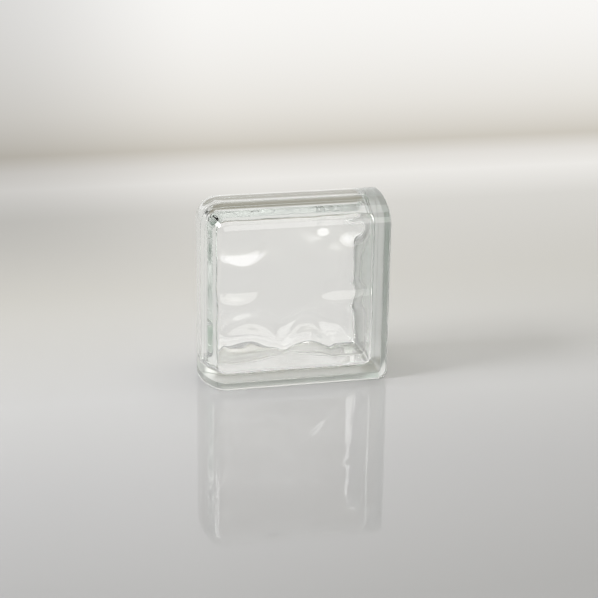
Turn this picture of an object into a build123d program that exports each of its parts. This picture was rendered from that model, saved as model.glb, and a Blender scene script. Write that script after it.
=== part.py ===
"""Hollow glass block for the corner of a glass wall, with two finished sides.

The block is two pressed glass trays, fused rim to rim on the plane halfway through it. Its left side
and its top are finished: they round over from face to face and meet in a rounded corner. Its right
side and its bottom are laid in mortar: each has a rim along both faces and a channel between them.
The faces are flat outside and wavy inside.

X runs along the face, Y from the front face to the rear one, and Z up. The origin is the middle of
the base, halfway between the faces.
"""
import os
from math import cos, exp, radians, sin, sqrt, tan

from build123d import *

# Outside of the block
block_width = 196.85
block_height = 196.85
block_thickness = 98.4
edge_radius = 1.5

# Rounded finished sides, on the left and on top
bullnose_reach = 24.5
flat_corner_radius = 1.0

# Mortar sides, on the right and below
mortar_corner_radius = 9.0
rim_width = 9.0
channel_depth = 5.5
channel_slope = 38.0

# Bead of glass that the fusing squeezes out along the channel
seam_bead_width = 3.0
seam_bead_height = 1.0

# Hollow inside, with straight walls that lean in by the draft of the press
wall_thickness = 7.5
face_thickness = 9.0
thinnest_face = 4.5
press_draft = 4.0
hollow_corner_radius = 9.0
hollow_edge_radius = 5.0

# Waves on the inside of the faces. Each stands out on one side of its middle and dips on the other, and
# has its height, its middle across and up the face, its reach along and across, the direction that it
# rises in, up from the X axis, and how far its ends bend back
front_waves = [
    (2.4, 72.0, 120.0, 26.0, 20.0, 0.0, 0.0),
    (2.4, 58.0, 158.0, 15.0, 17.0, 75.0, 0.0),
    (1.5, 26.0, 167.0, 7.0, 9.0, 90.0, 0.0),
    (2.0, -55.0, 142.0, 22.0, 13.0, 105.0, -10.0),
    (2.4, -64.0, 99.0, 24.0, 14.0, 90.0, -6.0),
    (2.2, 52.0, 97.0, 28.0, 11.0, 92.0, 0.0),
    (2.4, 9.0, 62.0, 20.0, 12.0, 90.0, 12.0),
    (2.2, -50.0, 66.0, 26.0, 12.0, 85.0, 8.0),
    (1.8, -8.0, 30.0, 34.0, 16.0, 270.0, 0.0),
]
rear_waves = [
    (1.6, -30.0, 120.0, 30.0, 16.0, 90.0, 0.0),
    (1.6, 60.0, 60.0, 26.0, 16.0, 90.0, 0.0),
    (1.6, 40.0, 130.0, 26.0, 16.0, 60.0, 0.0),
]
wave_grid_step = 5.0

# What follows from those sizes
half_thickness = block_thickness / 2
half_width = block_width / 2
finished_corner_radius = bullnose_reach + flat_corner_radius
channel_corner_radius = mortar_corner_radius - channel_depth
hollow_depth = half_thickness - thinnest_face
hollow_inset = channel_depth + wall_thickness
clearance = 5.0
right_side = Plane(origin=(half_width, 0, 0), x_dir=(0, 1, 0), z_dir=(1, 0, 0))
base = Plane(origin=(half_width, 0, 0), x_dir=(0, 1, 0), z_dir=(0, 0, 1))
finished_side = Plane(origin=(-half_width, 0, -clearance), x_dir=(1, 0, 0), z_dir=(0, 0, 1))
channel_end = Plane(origin=(-half_width, 0, channel_depth), x_dir=(0, 1, 0), z_dir=(1, 0, 0))


def finished_path():
    """Line up the left side, round the finished corner and along the top."""
    corner_x = -half_width + finished_corner_radius
    corner_z = block_height - finished_corner_radius
    with BuildLine(Plane.XZ) as path:
        Line((-half_width, -clearance), (-half_width, corner_z))
        CenterArc((corner_x, corner_z), finished_corner_radius, 180, -90)
        Line((corner_x, block_height), (half_width + clearance, block_height))
    return path.line


def mortar_path(inset, corner_radius):
    """Line along the base, round the mortar corner and up the right side, set in by inset."""
    right = half_width - inset
    with BuildLine(Plane.XZ) as path:
        Line((-half_width, inset), (right - corner_radius, inset))
        CenterArc((right - corner_radius, inset + corner_radius), corner_radius, -90, 90)
        Line((right, inset + corner_radius), (right, block_height))
    return path.line


def outside_of_rounding():
    """Outline of what is cut away to round a finished side, from the middle plane to the front."""
    with BuildLine() as outline:
        EllipticalCenterArc((bullnose_reach, 0), bullnose_reach, half_thickness, start_angle=180, arc_size=90)
        Polyline(
            (bullnose_reach, -half_thickness),
            (bullnose_reach, -half_thickness - clearance),
            (-clearance, -half_thickness - clearance),
            (-clearance, 0),
            (0, 0),
        )
    return outline.line


def channel_outline(side_length, setback):
    """Front half of the channel's outline on a mortar side, set back from the side's edge."""
    edge = -half_thickness + setback
    shoulder = side_length - bullnose_reach
    with BuildLine() as outline:
        EllipticalCenterArc((0, shoulder), -edge, bullnose_reach - setback, start_angle=90, arc_size=90)
        Polyline((edge, shoulder), (edge, -clearance), (0, -clearance), (0, side_length - setback))
    return outline.line


def wave_height(waves, x, z):
    """How far the wavy inside of a face stands out from its middle level, at a place on the face."""
    total = 0.0
    for height, middle_x, middle_z, along, across, direction, bend in waves:
        run = cos(radians(direction))
        rise = sin(radians(direction))
        side = ((x - middle_x) * rise - (z - middle_z) * run) / along
        slope = ((x - middle_x) * run + (z - middle_z) * rise + bend * side**2) / across
        total += height * sqrt(2) * slope * exp(0.5 - side**2 - slope**2)
    return total


def wavy_face(waves):
    """Surface of the inside of the front face, as large as the block's face."""
    columns = round(block_width / wave_grid_step)
    rows = round(block_height / wave_grid_step)
    points = []
    for row in range(rows + 1):
        z = block_height * row / rows
        line = []
        for column in range(columns + 1):
            x = -half_width + block_width * column / columns
            line.append((x, -half_thickness + face_thickness + wave_height(waves, x, z), z))
        points.append(line)
    return Face.make_surface_from_array_of_points(points, tol=0.02, min_deg=3, max_deg=5)


# Outside of the front tray, before its channel is pressed
with BuildPart() as outside:
    with BuildSketch(Plane.XZ) as outline:
        Rectangle(block_width, block_height, align=(Align.CENTER, Align.MIN))
        fillet(outline.vertices().group_by(Axis.Y)[-1].sort_by(Axis.X)[0], finished_corner_radius)
        fillet(outline.vertices().group_by(Axis.Y)[0].sort_by(Axis.X)[-1], mortar_corner_radius)
    extrude(amount=half_thickness)
    with BuildSketch(finished_side):
        make_face(outside_of_rounding())
    sweep(path=finished_path(), mode=Mode.SUBTRACT)
    mortar_corner = outside.faces().filter_by(
        lambda face: face.geom_type == GeomType.CYLINDER and face.center().Z < mortar_corner_radius
    )
    mortar_faces = outside.faces().sort_by(Axis.X)[-1:] + outside.faces().sort_by(Axis.Z)[:1] + mortar_corner
    rim_edges = mortar_faces.edges().filter_by(Axis.Y, reverse=True)
    fillet(rim_edges.filter_by(lambda edge: edge.center().Y < -edge_radius), edge_radius)

# Front half of the channel in the right side
with BuildPart() as right_channel:
    with BuildSketch(right_side.offset(clearance)):
        make_face(channel_outline(block_height, rim_width - clearance * tan(radians(channel_slope))))
    with BuildSketch(right_side.offset(-channel_depth)):
        make_face(channel_outline(block_height, rim_width + channel_depth * tan(radians(channel_slope))))
    loft(ruled=True)

# Front half of the channel in the base
with BuildPart() as base_channel:
    with BuildSketch(base.offset(-clearance)):
        make_face(channel_outline(block_width, rim_width - clearance * tan(radians(channel_slope))))
    with BuildSketch(base.offset(channel_depth)):
        make_face(channel_outline(block_width, rim_width + channel_depth * tan(radians(channel_slope))))
    loft(ruled=True)

# The two together, rounded where they meet, less the bead along the seam
with BuildPart() as channel:
    add(right_channel.part)
    add(base_channel.part)
    inner_corner = channel.edges().filter_by(Axis.Y).group_by(Axis.Z)[-1]
    fillet(inner_corner.sort_by(Axis.X)[0], channel_corner_radius)
    with BuildSketch(channel_end):
        Ellipse(seam_bead_width / 2, seam_bead_height)
    sweep(path=mortar_path(channel_depth, channel_corner_radius), mode=Mode.SUBTRACT)

# Hollow of the front tray, before its face is waved
with BuildPart() as hollow:
    with BuildSketch(Plane.XZ):
        with Locations((0, block_height / 2)):
            RectangleRounded(block_width - 2 * hollow_inset, block_height - 2 * hollow_inset, hollow_corner_radius)
    extrude(amount=hollow_depth, taper=press_draft)

# The same hollow, ending at the wavy inside of the front face, with the edge all round it rounded
with BuildPart() as front_hollow:
    add(hollow.part)
    extrude(wavy_face(front_waves), amount=half_thickness, dir=(0, -1, 0), mode=Mode.SUBTRACT)
    front_wave = front_hollow.faces().filter_by(GeomType.BSPLINE).sort_by(SortBy.AREA)[-1]
    fillet(front_wave.edges(), hollow_edge_radius)

# The hollow of the rear tray, still facing the front
with BuildPart() as rear_hollow:
    add(hollow.part)
    extrude(wavy_face(rear_waves), amount=half_thickness, dir=(0, -1, 0), mode=Mode.SUBTRACT)
    rear_wave = rear_hollow.faces().filter_by(GeomType.BSPLINE).sort_by(SortBy.AREA)[-1]
    fillet(rear_wave.edges(), hollow_edge_radius)

# Front tray: the outside, less its half of the channel and its half of the hollow
with BuildPart() as front_half:
    add(outside.part)
    add(channel.part, mode=Mode.SUBTRACT)
    add(front_hollow.part, mode=Mode.SUBTRACT)
front_half.part.label = "front_half"

# Rear tray: the same outside turned to face the rear, with waves of its own
with BuildPart() as rear_half:
    add(mirror(outside.part, about=Plane.XZ))
    add(mirror(channel.part, about=Plane.XZ), mode=Mode.SUBTRACT)
    add(mirror(rear_hollow.part, about=Plane.XZ), mode=Mode.SUBTRACT)
rear_half.part.label = "rear_half"

os.makedirs("parts", exist_ok=True)
export_step(front_half.part, "parts/front_half.step")
export_step(rear_half.part, "parts/rear_half.step")
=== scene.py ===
"""A hollow glass block for the corner of a glass wall, with two finished sides, on a pale floor."""
import math

import bmesh
import bpy
import numpy as np
from mathutils import Matrix, Vector


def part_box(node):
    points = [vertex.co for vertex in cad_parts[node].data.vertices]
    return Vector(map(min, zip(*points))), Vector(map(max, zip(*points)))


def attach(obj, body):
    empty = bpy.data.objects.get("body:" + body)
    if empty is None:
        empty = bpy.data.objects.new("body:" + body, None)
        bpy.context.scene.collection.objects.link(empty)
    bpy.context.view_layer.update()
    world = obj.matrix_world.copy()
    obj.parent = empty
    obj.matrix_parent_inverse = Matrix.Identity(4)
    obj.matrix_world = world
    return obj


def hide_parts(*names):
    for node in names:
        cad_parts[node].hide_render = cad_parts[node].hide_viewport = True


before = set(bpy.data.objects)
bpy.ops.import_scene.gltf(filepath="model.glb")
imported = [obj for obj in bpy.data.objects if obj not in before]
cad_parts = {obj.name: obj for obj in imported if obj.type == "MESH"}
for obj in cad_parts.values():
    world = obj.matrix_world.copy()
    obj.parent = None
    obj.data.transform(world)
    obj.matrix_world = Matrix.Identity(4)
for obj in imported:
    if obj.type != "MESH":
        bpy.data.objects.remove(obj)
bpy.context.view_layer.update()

# Finished sides of the block
# The block is two pressed trays of soda-lime glass, fused rim to rim, which leaves a fine line along the
# seam. Its left side and its top show at the end of a wall, so they round over from face to face, and
# the flame of the fusing leaves them polished. Sizes of the block are in millimetres.
mm = 0.001
_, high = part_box("rear_half")
half_width = high.x / mm
half_thickness = high.y / mm
height = high.z / mm
edge_radius = 1.5
bullnose_reach = 24.5
flat_corner_radius = 1.0
finished_corner_radius = bullnose_reach + flat_corner_radius
seam_line_half_width = 0.7
seam_line_depth = 0.25
outside_step = 3.0
side_turns = 24
finished_corner_turns = 12


def steps(start, end, step):
    """Evenly spaced values from start to end, at most step apart."""
    return np.linspace(start, end, max(2, math.ceil(abs(end - start) / step) + 1))


def seam_dip(y, half_width_of_line, depth):
    """How deep a narrow dip along the seam is at y."""
    return depth * np.clip(1 - (y / half_width_of_line) ** 2, 0, 1)


# Turns round a side, from the front face over the seam to the rear face, with closer ones by the seam
from_seam = np.array([0.2, 0.45, 0.7, 1.0, 1.5, 2.15])
even_turns = np.linspace(0, math.pi / 2, side_turns + 1)[:-1]
seam_turns = (math.pi / 2 - from_seam / half_thickness)[::-1]
quarter = np.unique(np.round(np.concatenate([even_turns, seam_turns]), 9))
turns = np.concatenate([quarter, [math.pi / 2], (math.pi - quarter)[::-1]])

# Line up the left side, round the finished corner and along the top: x, z and the way into the block
corner_x = -half_width + finished_corner_radius
corner_z = height - finished_corner_radius
finished_line = [(-half_width, z, 1.0, 0.0) for z in steps(edge_radius, corner_z, outside_step)]
for turn in np.linspace(0, math.pi / 2, finished_corner_turns + 1)[1:-1]:
    out_x, out_z = -math.cos(turn), math.sin(turn)
    x = corner_x + finished_corner_radius * out_x
    z = corner_z + finished_corner_radius * out_z
    finished_line.append((x, z, -out_x, -out_z))
finished_line += [(x, height, 0.0, -1.0) for x in steps(corner_x, half_width - edge_radius, outside_step)]

bullnose_rows = []
for x, z, in_x, in_z in finished_line:
    row = []
    for turn in turns:
        y = -half_thickness * math.cos(turn)
        inset = bullnose_reach * (1 - math.sin(turn)) + seam_dip(y, seam_line_half_width, seam_line_depth)
        row.append((x + inset * in_x, y, z + inset * in_z))
    bullnose_rows.append(row)

# Mortar sides of the block
# The right side and the base are laid in mortar. Each is pressed with a rim along both faces and a
# channel between them that keys into the mortar, and the fusing squeezes out a bead along the channel.
mortar_corner_radius = 9.0
rim_width = 9.0
channel_depth = 5.5
channel_slope = math.radians(38.0)
channel_lip_radius = 1.0
channel_floor_radius = 2.0
seam_bead_half_width = 1.5
seam_bead_height = 1.0
bead_share_of_end = 0.8
edge_points = 6
lip_points = 5
floor_points = 6
mortar_corner_turns = 8


def rounded_corner(before, corner, after, radius, count):
    """Points of the arc that rounds a corner of a section."""
    before, corner, after = (np.array(point, float) for point in (before, corner, after))
    toward = (before - corner) / np.linalg.norm(before - corner)
    away = (after - corner) / np.linalg.norm(after - corner)
    half_angle = math.acos(np.clip(toward @ away, -1, 1)) / 2
    middle = (toward + away) / np.linalg.norm(toward + away)
    centre = corner + middle * radius / math.sin(half_angle)
    first = corner + toward * radius / math.tan(half_angle) - centre
    last = corner + away * radius / math.tan(half_angle) - centre
    turn = math.acos(np.clip(first @ last / radius**2, -1, 1))
    return [
        centre + (math.sin((1 - share) * turn) * first + math.sin(share * turn) * last) / math.sin(turn)
        for share in np.linspace(0, 1, count)
    ]


# Section of a mortar side: how far each point is in from the face, and how deep
rim_edge = (rim_width, 0.0)
floor_edge = (rim_width + channel_depth * math.tan(channel_slope), channel_depth)
floor_beyond = (floor_edge[0] + rim_width, channel_depth)
section = [
    (edge_radius * (1 - math.cos(turn)), edge_radius * (1 - math.sin(turn)))
    for turn in np.linspace(0, math.pi / 2, edge_points)
]
section += rounded_corner((edge_radius, 0.0), rim_edge, floor_edge, channel_lip_radius, lip_points)
section += rounded_corner(rim_edge, floor_edge, floor_beyond, channel_floor_radius, floor_points)
lip_middle = edge_points + lip_points // 2


def mortar_line(depth):
    """(x, z) along the base, round the mortar corner and up the right side, at a depth in from them."""
    radius = mortar_corner_radius - depth
    centre_x, centre_z = half_width - mortar_corner_radius, mortar_corner_radius
    line = [(x, depth) for x in steps(-half_width + bullnose_reach, centre_x, outside_step)]
    for turn in np.linspace(-math.pi / 2, 0, mortar_corner_turns + 1)[1:-1]:
        line.append((centre_x + radius * math.cos(turn), centre_z + radius * math.sin(turn)))
    return line + [(half_width - depth, z) for z in steps(centre_z, height - bullnose_reach, outside_step)]


def mortar_loop(setback, depth, dip=0.0):
    """Closed loop round the two mortar sides, set back from their edges and deep in from them."""
    y = half_thickness - setback
    line = mortar_line(depth)
    reach = [
        (bullnose_reach - setback) * math.sin(turn)
        - seam_dip(half_thickness * math.cos(turn), seam_line_half_width, dip)
        for turn in turns
    ]
    top_end = [
        (half_width - depth, -y * math.cos(turn), height - bullnose_reach + out)
        for turn, out in zip(turns, reach)
    ]
    base_end = [
        (-half_width + bullnose_reach - out, -y * math.cos(turn), depth) for turn, out in zip(turns, reach)
    ]
    front = [(x, -y, z) for x, z in line]
    rear = [(x, y, z) for x, z in line]
    return front + top_end[1:-1] + rear[::-1] + base_end[1:-1][::-1]


loops = [mortar_loop(*section[0], dip=seam_line_depth)] + [mortar_loop(*point) for point in section[1:]]

# Floor of the channel, in rows from rim to rim that the bead stands up from
floor_setback, floor_depth = section[-1]
floor_rows = []
for turn in turns:
    y = -(half_thickness - floor_setback) * math.cos(turn)
    bead = seam_dip(y, seam_bead_half_width, seam_bead_height)
    end = (bullnose_reach - floor_setback) * math.sin(turn)
    bead_end = bead_share_of_end * end
    row = [(-half_width + bullnose_reach - end, y, floor_depth)]
    row += [(-half_width + bullnose_reach - bead_end, y, floor_depth - bead)]
    row += [(x, y, z) for x, z in mortar_line(floor_depth - bead)]
    row += [(half_width - floor_depth + bead, y, height - bullnose_reach + bead_end)]
    row += [(half_width - floor_depth, y, height - bullnose_reach + end)]
    floor_rows.append(row)

# Skin of the block
# The outside of the glass: the finished sides, the mortar sides and the two flat faces. It is polished
# where it shows. In the channels, from their lips down, the works coats it so that mortar holds to it.
polished, coated = 0, 1
merge_distance = 1e-5
shortest_edge = 1e-6
skin = bmesh.new()


def add_rows(rows, closed, finish):
    """Quads between rows of points."""
    made = [[skin.verts.new(np.array(point) * mm) for point in row] for row in rows]
    for first, second in zip(made, made[1:]):
        count = len(first) if closed else len(first) - 1
        for i in range(count):
            j = (i + 1) % len(first)
            skin.faces.new((first[i], first[j], second[j], second[i])).material_index = finish


add_rows(bullnose_rows, False, polished)
add_rows(loops[:lip_middle + 1], True, polished)
add_rows(loops[lip_middle:], True, coated)
add_rows(floor_rows, False, coated)
for side, end in ((-1, 0), (1, -1)):
    border = [row[end] for row in bullnose_rows]
    mortar_edge = [(x, side * half_thickness, z) for x, z in mortar_line(edge_radius)]
    outline = border + mortar_edge[::-1][1:-1]
    skin.faces.new([skin.verts.new(np.array(point) * mm) for point in outline])
bmesh.ops.remove_doubles(skin, verts=skin.verts, dist=merge_distance)
bmesh.ops.dissolve_degenerate(skin, edges=skin.edges, dist=shortest_edge)
bmesh.ops.recalc_face_normals(skin, faces=skin.faces)

# Hollow inside
# The plunger of the press leaves each tray a hollow with leaning walls and rounded corners, and with
# waves on the inside of its face that blur what is behind. Where the trays are fused, a bead of glass
# stands in from the walls. The rear tray was pressed with a rounder edge.
wall_thickness = 7.5
face_thickness = 9.0
press_draft = math.radians(4.0)
hollow_corner_radius = 9.0
front_edge_radius = 5.0
rear_edge_radius = 25.0
inner_bead_half_width = 2.0
inner_bead_height = 1.2
inner_bead_lines = 9
hollow_left = -half_width + channel_depth + wall_thickness
hollow_right = half_width - channel_depth - wall_thickness
hollow_floor = channel_depth + wall_thickness
hollow_top = height - channel_depth - wall_thickness

# Each wave stands out on one side of its middle and dips on the other. It has its height, its middle
# across and up the face, its reach along and across, the direction that it rises in, up from the X
# axis, and how far its ends bend back
front_waves = [
    (2.4, 72.0, 120.0, 26.0, 20.0, 0.0, 0.0),
    (2.4, 58.0, 158.0, 15.0, 17.0, 75.0, 0.0),
    (1.5, 26.0, 167.0, 7.0, 9.0, 90.0, 0.0),
    (2.0, -55.0, 142.0, 22.0, 13.0, 105.0, -10.0),
    (2.4, -64.0, 99.0, 24.0, 14.0, 90.0, -6.0),
    (2.2, 52.0, 97.0, 28.0, 11.0, 92.0, 0.0),
    (2.4, 9.0, 62.0, 20.0, 12.0, 90.0, 12.0),
    (2.2, -50.0, 66.0, 26.0, 12.0, 85.0, 8.0),
    (1.8, -8.0, 30.0, 34.0, 16.0, 270.0, 0.0),
]
rear_waves = [
    (1.6, -30.0, 120.0, 30.0, 16.0, 90.0, 0.0),
    (1.6, 60.0, 60.0, 26.0, 16.0, 90.0, 0.0),
    (1.6, 40.0, 130.0, 26.0, 16.0, 60.0, 0.0),
]

# Fine streaks up both faces, from the run of the glass in the mould. The close ones wander from side to
# side, and the wide ones slant. Lengths are those of one radian
close_height, close_length = 0.25, 5.5
wander, wander_length = 0.6, 19.0
wide_height, wide_length, wide_slant, wide_start = 0.2, 9.0, 26.0, 1.0


def wave_height(waves, x, z):
    """How far the wavy inside of a face stands in from its middle level, at places on the face."""
    total = 0.0
    for crest, middle_x, middle_z, along, across, direction, bend in waves:
        run, rise = math.cos(math.radians(direction)), math.sin(math.radians(direction))
        side = ((x - middle_x) * rise - (z - middle_z) * run) / along
        slope = ((x - middle_x) * run + (z - middle_z) * rise + bend * side**2) / across
        total = total + crest * math.sqrt(2) * slope * np.exp(0.5 - side**2 - slope**2)
    close = close_height * np.cos(x / close_length + wander * np.sin(z / wander_length))
    wide = wide_height * np.cos(x / wide_length + z / wide_slant + wide_start)
    return total + close + wide


def rounded_meet(a, b, radius):
    """Depth inside two surfaces at once, with the edge between them rounded."""
    over = np.hypot(np.maximum(radius - a, 0), np.maximum(radius - b, 0))
    return np.where((a < radius) & (b < radius), radius - over, np.minimum(a, b))


def depth_in_hollow(points):
    """How far points are inside the hollow, in millimetres; less than nothing is in the glass."""
    x, y, z = points.T
    deep = np.abs(y)
    rise, run = math.sin(press_draft), math.cos(press_draft)
    sides = np.minimum(x - hollow_left, hollow_right - x) * run - deep * rise
    ends = np.minimum(z - hollow_floor, hollow_top - z) * run - deep * rise
    walls = rounded_meet(sides, ends, hollow_corner_radius)
    walls = walls - seam_dip(y, inner_bead_half_width, inner_bead_height)
    waves = np.where(y < 0, wave_height(front_waves, x, z), wave_height(rear_waves, x, z))
    face = half_thickness - face_thickness - waves - deep
    return rounded_meet(walls, face, np.where(y < 0, front_edge_radius, rear_edge_radius))


# Grid on a rounded box, each point of which then moves out from a core until it meets the glass
hollow_step = 1.6
core_inset = 12.0
core_half_depth = 30.0
core_low = np.array([hollow_left + core_inset, -core_half_depth, hollow_floor + core_inset])
core_high = np.array([hollow_right - core_inset, core_half_depth, hollow_top - core_inset])
corner_steps = 15
longest_way = 80.0
halvings = 40


def stations(axis):
    """(place along the core, lean to either side) of the grid lines across an axis."""
    lean = np.tan(np.linspace(0, math.pi / 4, corner_steps + 1))
    straight = steps(core_low[axis], core_high[axis], hollow_step)
    if axis == 1:
        bead_lines = np.linspace(-inner_bead_half_width, inner_bead_half_width, inner_bead_lines)
        straight = np.union1d(straight, bead_lines)
    low_end, high_end = np.full(corner_steps, core_low[axis]), np.full(corner_steps, core_high[axis])
    place = np.concatenate([low_end, straight, high_end])
    return place, np.concatenate([-lean[:0:-1], np.zeros(len(straight)), lean[1:]])


hollow = bmesh.new()
for axis in range(3):
    across, up = (other for other in range(3) if other != axis)
    (across_places, across_leans), (up_places, up_leans) = stations(across), stations(up)
    rows, columns = len(across_places), len(up_places)
    for side in (-1, 1):
        start = np.empty((rows, columns, 3))
        ray = np.empty((rows, columns, 3))
        start[..., axis] = core_high[axis] if side > 0 else core_low[axis]
        ray[..., axis] = side
        start[..., across], ray[..., across] = across_places[:, None], across_leans[:, None]
        start[..., up], ray[..., up] = up_places[None, :], up_leans[None, :]
        start, ray = start.reshape(-1, 3), ray.reshape(-1, 3)
        ray = ray / np.linalg.norm(ray, axis=1)[:, None]
        near, far = np.zeros(len(ray)), np.full(len(ray), longest_way)
        for _ in range(halvings):
            middle = (near + far) / 2
            inside = depth_in_hollow(start + ray * middle[:, None]) > 0
            near, far = np.where(inside, middle, near), np.where(inside, far, middle)
        made = [hollow.verts.new(point) for point in (start + ray * near[:, None]) * mm]
        for i in range(rows - 1):
            for j in range(columns - 1):
                a = i * columns + j
                hollow.faces.new((made[a], made[a + 1], made[a + columns + 1], made[a + columns]))
bmesh.ops.remove_doubles(hollow, verts=hollow.verts, dist=merge_distance)
bmesh.ops.recalc_face_normals(hollow, faces=hollow.faces)
bmesh.ops.reverse_faces(hollow, faces=hollow.faces)
hollow_mesh = bpy.data.meshes.new("hollow")
hollow.to_mesh(hollow_mesh)
hollow.free()

# Fused block
# The two trays can't come apart once the flame has fused their rims, so the skin and the hollow are one
# piece of glass.
sharp_angle = math.radians(50)
skin.from_mesh(hollow_mesh)
bpy.data.meshes.remove(hollow_mesh)
block_mesh = bpy.data.meshes.new("fused_glass_block")
skin.to_mesh(block_mesh)
skin.free()
block_mesh.shade_smooth()
block_mesh.set_sharp_from_angle(angle=sharp_angle)
block = bpy.data.objects.new("fused_glass_block", block_mesh)
bpy.context.scene.collection.objects.link(block)
normals = block.modifiers.new("flat faces stay flat", "WEIGHTED_NORMAL")
normals.keep_sharp = True
normals.weight = 100


def linear(hex_colour):
    """Linear colour of an sRGB hex value."""
    parts = [int(hex_colour[i:i + 2], 16) / 255 for i in (0, 2, 4)]
    return [c / 12.92 if c <= 0.04045 else ((c + 0.055) / 1.055) ** 2.4 for c in parts] + [1.0]


def add_node(tree, kind, settings=None, links=None):
    """Adds a node, sets its properties and plain inputs, and links other nodes' outputs to its inputs."""
    node = tree.nodes.new(kind)
    for key, value in (settings or {}).items():
        if isinstance(key, str) and hasattr(node, key):
            setattr(node, key, value)
        else:
            node.inputs[key].default_value = value
    for key, output in (links or {}).items():
        tree.links.new(output, node.inputs[key])
    return node


# Soda-lime glass, pressed and polished by the flame: clear and sharp to look through, with hard bright
# reflections, and faintly green where the eye looks a long way through it
glass_ior = 1.52
glass_tint, tint_per_metre = linear("c9d8d0"), 1.8
glass = bpy.data.materials.new("pressed soda-lime glass")
glass.use_nodes = True
tree = glass.node_tree
tree.nodes.clear()
clear = add_node(tree, "ShaderNodeBsdfPrincipled", {
    "Base Color": (1, 1, 1, 1), "Roughness": 0.0, "IOR": glass_ior, "Transmission Weight": 1.0,
})
tint = add_node(tree, "ShaderNodeVolumeAbsorption", {"Color": glass_tint, "Density": tint_per_metre})
add_node(tree, "ShaderNodeOutputMaterial", links={"Surface": clear.outputs[0], "Volume": tint.outputs[0]})
block_mesh.materials.append(glass)

# The same glass, dulled and with a thin pale coat in the channels: smooth pale bands, which blur what
# they mirror and glow softly with the light that comes through from either side
dulled_roughness = 0.25
coat_cover = 0.25
coat_colour = linear("f6f7f5")
coated_glass = bpy.data.materials.new("glass with a pale coat")
coated_glass.use_nodes = True
tree = coated_glass.node_tree
tree.nodes.clear()
dulled = add_node(tree, "ShaderNodeBsdfPrincipled", {
    "Base Color": (1, 1, 1, 1), "Roughness": dulled_roughness, "IOR": glass_ior, "Transmission Weight": 1.0,
})
lit_through = add_node(tree, "ShaderNodeBsdfTranslucent", {"Color": coat_colour})
lit_within = add_node(tree, "ShaderNodeBsdfDiffuse", {"Color": coat_colour})
coat = add_node(tree, "ShaderNodeMixShader", {0: 0.5}, {1: lit_through.outputs[0], 2: lit_within.outputs[0]})
surface = add_node(tree, "ShaderNodeMixShader", {0: coat_cover}, {1: dulled.outputs[0], 2: coat.outputs[0]})
tint = add_node(tree, "ShaderNodeVolumeAbsorption", {"Color": glass_tint, "Density": tint_per_metre})
add_node(tree, "ShaderNodeOutputMaterial", links={"Surface": surface.outputs[0], "Volume": tint.outputs[0]})
block_mesh.materials.append(coated_glass)

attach(block, "root")
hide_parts("front_half", "rear_half")

# Floor
# A white acrylic sheet, cast and polished, which lies flat under the block and sweeps up behind it.
# Its sizes are in metres.
sweep_start, sweep_radius, sweep_top = 0.95, 0.30, 1.2
floor_reach = 6.0
floor_steps = 59
sweep_turns = 24
profile = [(y, 0.0) for y in np.linspace(-floor_reach, sweep_start, floor_steps + 1)]
for turn in np.linspace(0, math.pi / 2, sweep_turns + 1)[1:]:
    profile.append((sweep_start + sweep_radius * math.sin(turn), sweep_radius * (1 - math.cos(turn))))
profile.append((sweep_start + sweep_radius, sweep_top))
floor = bpy.data.objects.new("floor", bpy.data.meshes.new("floor"))
floor.data.from_pydata(
    [(side * floor_reach, y, z) for side in (-1, 1) for y, z in profile],
    [],
    [(i, i + len(profile), i + len(profile) + 1, i + 1) for i in range(len(profile) - 1)],
)
floor.data.shade_smooth()
bpy.context.scene.collection.objects.link(floor)

# Polished acrylic: white, with a clear dim mirror image of what stands on it
acrylic = bpy.data.materials.new("white acrylic sheet")
acrylic.use_nodes = True
tree = acrylic.node_tree
sheet = tree.nodes["Principled BSDF"]
sheet.inputs["Roughness"].default_value = 0.03
spot = add_node(tree, "ShaderNodeNewGeometry")
axes = add_node(tree, "ShaderNodeSeparateXYZ", links={0: spot.outputs["Position"]})
tones_start, tones_end = -0.5, 1.5
along_floor = add_node(tree, "ShaderNodeMapRange", {
    "From Min": tones_start, "From Max": tones_end,
}, {"Value": axes.outputs["Y"]})

# Painted tones of the sheet by the distance behind the block: its colour as it is lit, with painted shade
# that darkens it towards the front; the far part, which shows to the eye a painted glow whatever light falls
# on it, with a painted dark band at the foot of the sweep; and the painted light that it shows through the
# glass, brightest under the block
painted_shade_stops = [(-0.5, "bbbcc0"), (-0.26, "cbccd1"), (-0.05, "dbdce0"), (0.3, "dad9d6"), (0.6, "dddcd8")]
painted_backdrop_stops = [
    (0.30, "d2d0cc"), (0.62, "d9d7d2"), (0.78, "eceae6"), (0.88, "e2dfda"),
    (0.98, "cdc8be"), (1.10, "e6e3dd"), (1.25, "fbfaf8"), (1.40, "fefdfb"),
]
painted_through_glass_stops = [
    (-0.3, "c8c7c5"), (-0.12, "d4d3d0"), (-0.06, "f4f3f0"), (0.04, "f1f0ed"),
    (0.11, "dbdad7"), (0.55, "e2e1dd"), (0.65, "edece8"), (0.75, "fbfaf8"),
]
tones = []
for stops in (painted_shade_stops, painted_backdrop_stops, painted_through_glass_stops):
    ramp = add_node(tree, "ShaderNodeValToRGB", links={0: along_floor.outputs[0]})
    while len(ramp.color_ramp.elements) < len(stops):
        ramp.color_ramp.elements.new(0.5)
    for element, (distance, colour) in zip(ramp.color_ramp.elements, stops):
        element.position = (distance - tones_start) / (tones_end - tones_start)
        element.color = linear(colour)
    tones.append(ramp.outputs[0])
painted_shade_tone, painted_backdrop_tone, painted_through_glass_tone = tones
# The sheet's colour carries painted shade: darker towards the front
tree.links.new(painted_shade_tone, sheet.inputs["Base Color"])
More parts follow.
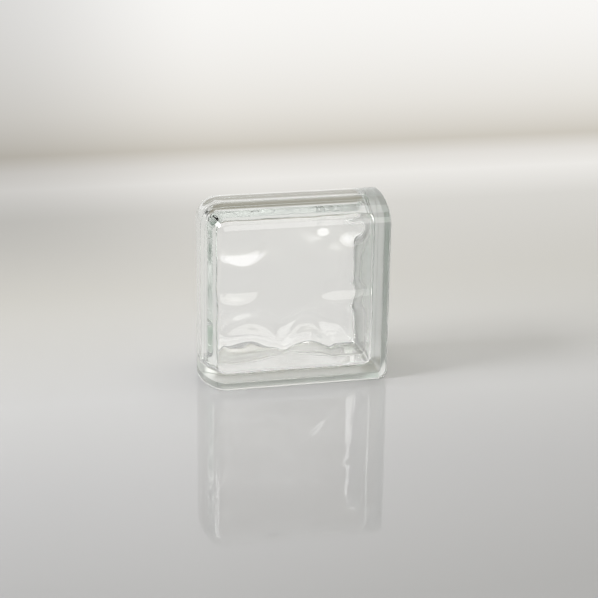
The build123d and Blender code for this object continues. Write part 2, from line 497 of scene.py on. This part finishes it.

# The far part, a painted glow for the eye and in reflections, which takes over from the lit sheet behind the
# block, and painted shade dims it to the left
path = add_node(tree, "ShaderNodeLightPath")
seen = add_node(tree, "ShaderNodeMath", {"operation": "MAXIMUM"}, {
    0: path.outputs["Is Camera Ray"], 1: path.outputs["Is Glossy Ray"],
})
far = add_node(tree, "ShaderNodeMapRange", {
    "interpolation_type": "SMOOTHSTEP", "From Min": 0.15, "From Max": 0.70,
}, {"Value": axes.outputs["Y"]})
painted_backdrop_share = add_node(tree, "ShaderNodeMath", {"operation": "MULTIPLY"}, {
    0: seen.outputs[0], 1: far.outputs[0],
})
painted_shade_toward_left = add_node(tree, "ShaderNodeMapRange", {
    "interpolation_type": "SMOOTHSTEP", "From Min": -0.30, "From Max": 0.15, "To Min": 0.72,
}, {"Value": axes.outputs["X"]})
# Painted glow of the far part, with a painted dark band at the foot of the sweep and painted shade to the
# left
glow = add_node(tree, "ShaderNodeEmission", links={"Color": painted_backdrop_tone, "Strength": painted_shade_toward_left.outputs[0]})
to_the_eye = add_node(tree, "ShaderNodeMixShader", links={
    0: painted_backdrop_share.outputs[0], 1: sheet.outputs[0], 2: glow.outputs[0],
})

# Through the glass the sheet is a painted glow, plain and lit all over with no shadow and brightest under
# the block, and painted shade dims it up the sweep and at the left end
up_sweep = add_node(tree, "ShaderNodeMapRange", {
    "interpolation_type": "SMOOTHSTEP", "From Min": 0.08, "From Max": 0.4,
}, {"Value": axes.outputs["Z"]})
painted_shade_up_sweep = add_node(tree, "ShaderNodeMix", {"data_type": "RGBA", 7: linear("999689")}, {
    0: up_sweep.outputs[0], 6: painted_through_glass_tone,
})
painted_shade_at_left_end = add_node(tree, "ShaderNodeMapRange", {
    "interpolation_type": "SMOOTHSTEP", "From Min": -0.95, "From Max": -0.45, "To Min": 0.12,
}, {"Value": axes.outputs["X"]})
# Painted light: the sheet glows as the glass shows it, though it is no lamp
plain = add_node(tree, "ShaderNodeEmission", links={
    "Color": painted_shade_up_sweep.outputs[2], "Strength": painted_shade_at_left_end.outputs[0],
})
surface = add_node(tree, "ShaderNodeMixShader", links={
    0: path.outputs["Is Transmission Ray"], 1: to_the_eye.outputs[0], 2: plain.outputs[0],
})
tree.links.new(surface.outputs[0], tree.nodes["Material Output"].inputs["Surface"])
floor.data.materials.append(acrylic)

# Light
# A studio with grey walls that are brighter to the right, a key soft box high on the left, a weak one
# overhead, and two that stand in front and on the right for the glass to mirror.
world = bpy.data.worlds.new("studio")
bpy.context.scene.world = world
world.use_nodes = True
tree = world.node_tree
tree.nodes.clear()
direction = add_node(tree, "ShaderNodeTexCoord")
axes = add_node(tree, "ShaderNodeSeparateXYZ", links={0: direction.outputs["Generated"]})
behind = add_node(tree, "ShaderNodeMapRange", {
    "interpolation_type": "SMOOTHSTEP", "From Min": -0.4, "From Max": 0.4,
}, {"Value": axes.outputs["Y"]})
overhead = add_node(tree, "ShaderNodeMapRange", {
    "interpolation_type": "SMOOTHSTEP", "From Min": 0.25, "From Max": 0.75,
}, {"Value": axes.outputs["Z"]})
walls = add_node(tree, "ShaderNodeMix", {
    "data_type": "RGBA", 6: linear("96938c"), 7: linear("9c998f"),
}, {0: behind.outputs[0]})
room = add_node(tree, "ShaderNodeMix", {"data_type": "RGBA", 7: linear("9a978c")}, {
    0: overhead.outputs[0], 6: walls.outputs[2],
})
sideways = add_node(tree, "ShaderNodeMapRange", {
    "interpolation_type": "SMOOTHSTEP", "From Min": -1.0, "From Max": 1.0, "To Min": 0.2, "To Max": 2.3,
}, {"Value": axes.outputs["X"]})
sky = add_node(tree, "ShaderNodeBackground", links={
    "Color": room.outputs[2], "Strength": sideways.outputs[0],
})
add_node(tree, "ShaderNodeOutputWorld", links={"Surface": sky.outputs[0]})


def soft_lamp(name, place, aim, width, length, watts):
    """A soft box that shines from a place towards a point."""
    data = bpy.data.lights.new(name, "AREA")
    data.shape = "RECTANGLE"
    data.size, data.size_y = width, length
    data.energy = watts
    lamp = bpy.data.objects.new(name, data)
    lamp.location = place
    lamp.rotation_mode = "QUATERNION"
    lamp.rotation_quaternion = (Vector(aim) - Vector(place)).to_track_quat("-Z", "Y")
    bpy.context.scene.collection.objects.link(lamp)
    lamp.visible_camera = False
    return lamp


block_middle = (0, 0, 0.1)
soft_lamp("key soft box", (-2.0, -0.2, 1.5), block_middle, 0.9, 0.9, 31)
front_box = soft_lamp("front soft box", (0.2, -2.2, 1.5), block_middle, 4.4, 1.9, 68)
right_box = soft_lamp("right soft box", (1.4, 0.1, 0.75), block_middle, 2.4, 1.6, 15)
soft_lamp("overhead soft box", (0.0, 0.2, 1.9), (0, 0.2, 0.0), 1.4, 1.0, 7)
# The two that the glass mirrors light nothing else, so the floor shows no edge of them
mirroring = bpy.data.collections.new("mirroring the side soft boxes")
mirroring.objects.link(block)
for side_box in (front_box, right_box):
    side_box.visible_diffuse = False
    side_box.light_linking.receiver_collection = mirroring
# Light passes many surfaces on its way through the block
cycles = bpy.context.scene.cycles
cycles.max_bounces = 32
cycles.glossy_bounces = 16
cycles.transmission_bounces = 32

# Camera
# At the photograph's viewing angle, fitted to the block's outline there. It aims at a point inside the
# block, and slides to the right and down to frame the block as the photograph does.
image_px = 598
sensor_width = 36.0
focal_px = 1654.78
azimuth, elevation, roll = (math.radians(angle) for angle in (13.54, 19.25, 0.75))
distance = 1760.84
slide_right, slide_up = 9.44, -13.87
target_depth = 40.0
target = np.array([0.0, target_depth - half_thickness, height / 2])
back = np.array([
    -math.sin(azimuth) * math.cos(elevation), -math.cos(azimuth) * math.cos(elevation), math.sin(elevation),
])
level_right = np.cross(-back, [0, 0, 1])
level_right /= np.linalg.norm(level_right)
level_up = np.cross(level_right, -back)
right = math.cos(roll) * level_right + math.sin(roll) * level_up
up = math.cos(roll) * level_up - math.sin(roll) * level_right
place = (target + back * distance + right * slide_right + up * slide_up) * mm
camera_data = bpy.data.cameras.new("camera")
camera_data.sensor_width = sensor_width
camera_data.lens = focal_px * sensor_width / image_px
camera_data.clip_end = 100
camera = bpy.data.objects.new("camera", camera_data)
turned = Matrix(np.array([right, up, back]).T.tolist()).to_4x4()
camera.matrix_world = Matrix.Translation(Vector(place)) @ turned
bpy.context.scene.collection.objects.link(camera)
bpy.context.scene.camera = camera
bpy.context.scene.view_settings.view_transform = "Standard"
